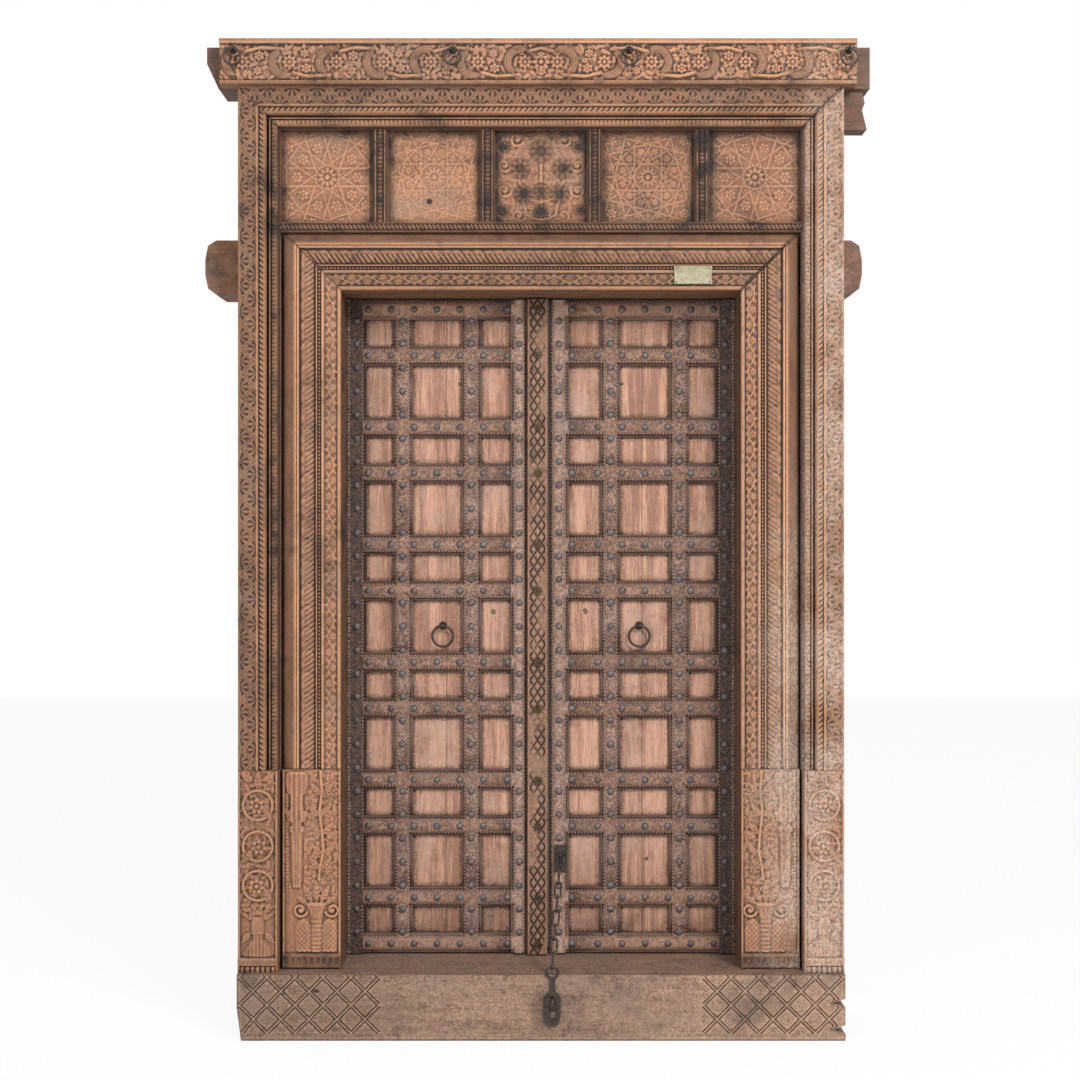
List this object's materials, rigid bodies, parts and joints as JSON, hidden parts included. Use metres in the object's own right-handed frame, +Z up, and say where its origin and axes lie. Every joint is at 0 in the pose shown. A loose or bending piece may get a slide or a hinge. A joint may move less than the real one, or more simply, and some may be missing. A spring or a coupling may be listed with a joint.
{
  "type": "carved temple door",
  "caption": "Carved wooden temple door with two batten-lattice leaves on wooden pivots, bossed and chained, in a double carved frame with a panelled frieze.",
  "frame": {"origin": "on the centre line of the doorway at the underside of the sill, in the plane of the leaves' pivots", "axes": "+X to the right along the sill, +Y into the wall, +Z up"},
  "size_m": [1.697, 0.3204, 2.508],
  "materials": {
    "frame_wood": "satin",
    "plank_wood": "matte",
    "batten_wood": "matte",
    "boss_iron": "matte",
    "forged_iron": "matte",
    "star_brass": "matte"
  },
  "bodies": {
    "frame": {"sill": "frame_wood", "sill_staple": "forged_iron", "outer_post_left": "frame_wood", "outer_post_right": "frame_wood", "outer_lintel": "frame_wood", "inner_post_left": "frame_wood", "inner_post_right": "frame_wood", "inner_lintel": "frame_wood", "frieze_panel_1": "frame_wood", "frieze_panel_2": "frame_wood", "frieze_panel_3": "frame_wood", "frieze_panel_4": "frame_wood", "frieze_panel_5": "frame_wood", "frieze_mullion_1": "frame_wood", "frieze_mullion_2": "frame_wood", "frieze_mullion_3": "frame_wood", "frieze_mullion_4": "frame_wood", "frieze_rail": "frame_wood", "top_fascia": "frame_wood", "top_beam": "frame_wood", "top_staples": "forged_iron"},
    "left_leaf": {"left_outer_plank": "plank_wood", "left_inner_plank": "plank_wood", "left_hanging_stile": "batten_wood", "left_meeting_stile": "batten_wood", "left_outer_muntin": "batten_wood", "left_inner_muntin": "batten_wood", "left_top_rail": "batten_wood", "left_bottom_rail": "batten_wood", "left_rails": "batten_wood", "left_bosses": "boss_iron", "left_pull_staple": "forged_iron", "left_cover_strip": "batten_wood", "left_stars": "star_brass"},
    "right_leaf": {"right_outer_plank": "plank_wood", "right_inner_plank": "plank_wood", "right_hanging_stile": "batten_wood", "right_meeting_stile": "batten_wood", "right_outer_muntin": "batten_wood", "right_inner_muntin": "batten_wood", "right_top_rail": "batten_wood", "right_bottom_rail": "batten_wood", "right_rails": "batten_wood", "right_bosses": "boss_iron", "right_pull_staple": "forged_iron", "chain_plate": "forged_iron"},
    "left_pull": {"left_pull_ring": "forged_iron"},
    "right_pull": {"right_pull_ring": "forged_iron"},
    "ring_1": {"top_ring_1": "forged_iron"},
    "ring_2": {"top_ring_2": "forged_iron"},
    "ring_3": {"top_ring_3": "forged_iron"},
    "ring_4": {"top_ring_4": "forged_iron"},
    "chain": {"chain_links": "forged_iron"},
    "hasp": {"hasp": "forged_iron"}
  },
  "joints": [
    {"name": "left_leaf_swing", "type": "hinge", "parent": "frame", "child": "left_leaf", "pos_m": [-0.505, 0, 1], "axis": [0, 0, 1], "range_deg": [0, 90]},
    {"name": "right_leaf_swing", "type": "hinge", "parent": "frame", "child": "right_leaf", "pos_m": [0.505, 0, 1], "axis": [0, 0, -1], "range_deg": [0, 90], "deforming": ["chain_links", "hasp"]},
    {"name": "left_pull_swing", "type": "hinge", "parent": "left_leaf", "child": "left_pull", "pos_m": [-0.258, -0.031, 1.02677], "axis": [-1, 0, 0], "range_deg": [0, 150]},
    {"name": "right_pull_swing", "type": "hinge", "parent": "right_leaf", "child": "right_pull", "pos_m": [0.258, -0.031, 1.02677], "axis": [-1, 0, 0], "range_deg": [0, 150]},
    {"name": "ring_1_swing", "type": "hinge", "parent": "frame", "child": "ring_1", "pos_m": [-0.77, -0.254, 2.478], "axis": [-1, 0, 0], "range_deg": [0, 150]},
    {"name": "ring_2_swing", "type": "hinge", "parent": "frame", "child": "ring_2", "pos_m": [-0.221, -0.254, 2.478], "axis": [-1, 0, 0], "range_deg": [0, 150]},
    {"name": "ring_3_swing", "type": "hinge", "parent": "frame", "child": "ring_3", "pos_m": [0.221, -0.254, 2.478], "axis": [-1, 0, 0], "range_deg": [0, 150]},
    {"name": "ring_4_swing", "type": "hinge", "parent": "frame", "child": "ring_4", "pos_m": [0.77, -0.254, 2.478], "axis": [-1, 0, 0], "range_deg": [0, 150]},
    {"name": "chain_lift", "type": "hinge", "parent": "right_leaf", "child": "chain", "pos_m": [0.051, -0.057, 0.43], "axis": [-1, 0, 0], "range_deg": [0, 120]},
    {"name": "hasp_lift", "type": "hinge", "parent": "chain", "child": "hasp", "pos_m": [0.028, -0.249, 0.186], "axis": [-1, 0, 0], "range_deg": [0, 60]}
  ]
}
